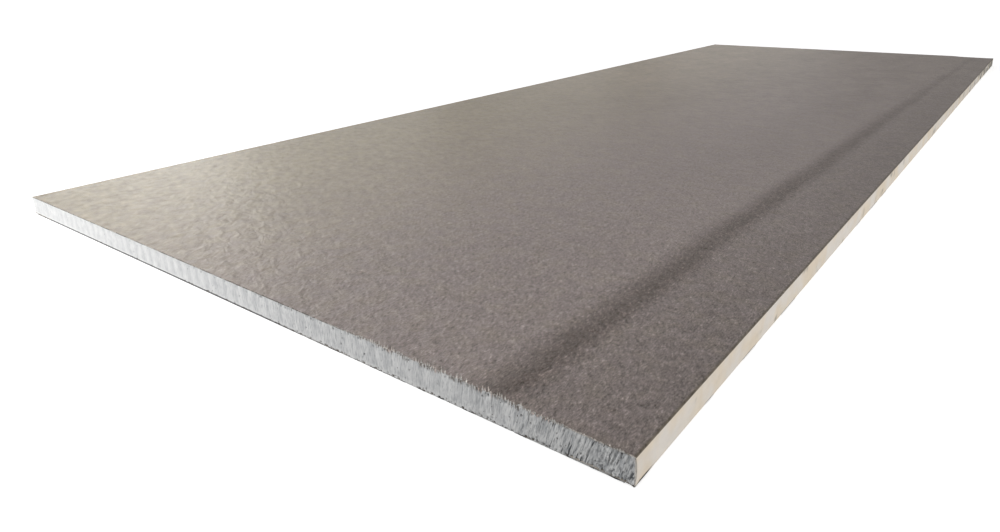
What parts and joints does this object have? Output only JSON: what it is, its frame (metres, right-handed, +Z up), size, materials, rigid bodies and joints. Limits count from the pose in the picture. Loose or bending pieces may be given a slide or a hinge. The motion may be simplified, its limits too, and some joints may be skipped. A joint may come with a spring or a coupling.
{
  "type": "drywall sheet",
  "caption": "Flat rectangular gypsum board with paper faces, one recessed paper-wrapped long edge, one square long edge and cut short ends.",
  "frame": {"origin": "centre of the underside", "axes": "+Z up through the face, +Y along the length, +X towards the recessed long edge"},
  "size_m": [0.61, 1.525, 0.0159],
  "materials": {
    "gypsum": "raw cut gypsum, matt, with fine pores and saw marks",
    "face_paper": "grey-brown fibrous paper on the face, cream and smoother round the long edges",
    "back_paper": "plain grey-brown recycled paper, matt"
  },
  "bodies": {
    "root": {"gypsum_core": "gypsum", "face_paper": "face_paper", "back_paper": "back_paper"}
  },
  "joints": []
}
